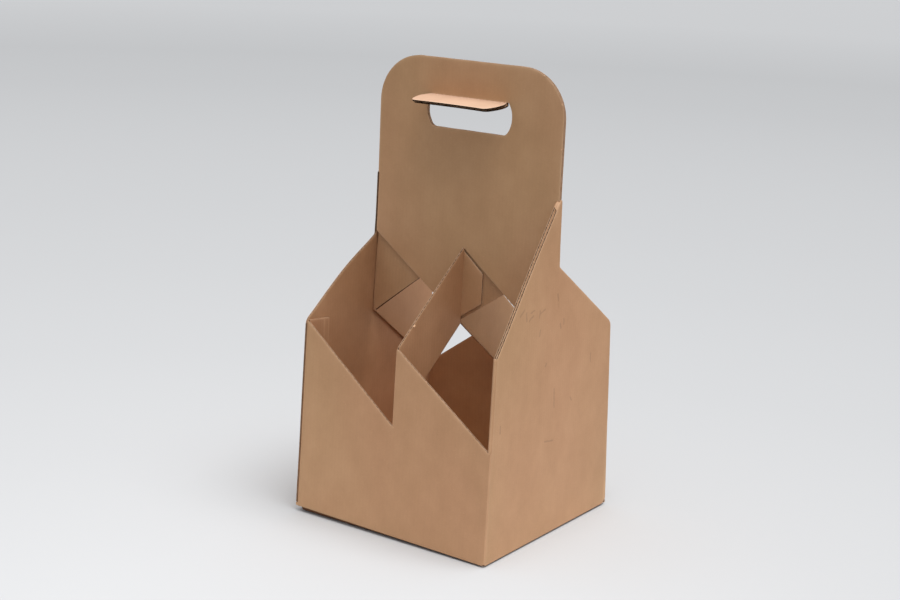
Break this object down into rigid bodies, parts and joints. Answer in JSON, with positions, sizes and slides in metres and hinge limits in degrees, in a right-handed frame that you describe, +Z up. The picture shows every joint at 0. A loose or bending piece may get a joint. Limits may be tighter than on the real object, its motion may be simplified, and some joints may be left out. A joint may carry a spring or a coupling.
{
  "type": "wine bottle carrier",
  "caption": "Folded corrugated board carrier with open-topped divided cells for wine bottles and a middle handle panel with a hand hole and a folded-out flap.",
  "frame": {"origin": "on the floor under the middle of the base", "axes": "+Z up towards the handle, +X to the right along the front wall, +Y from the front wall to the back wall; the handle panel lies in the XZ plane"},
  "size_m": [0.181, 0.1808, 0.363],
  "materials": {
    "kraft_board": "matt"
  },
  "bodies": {
    "root": {"carrier": "kraft_board"}
  },
  "joints": []
}
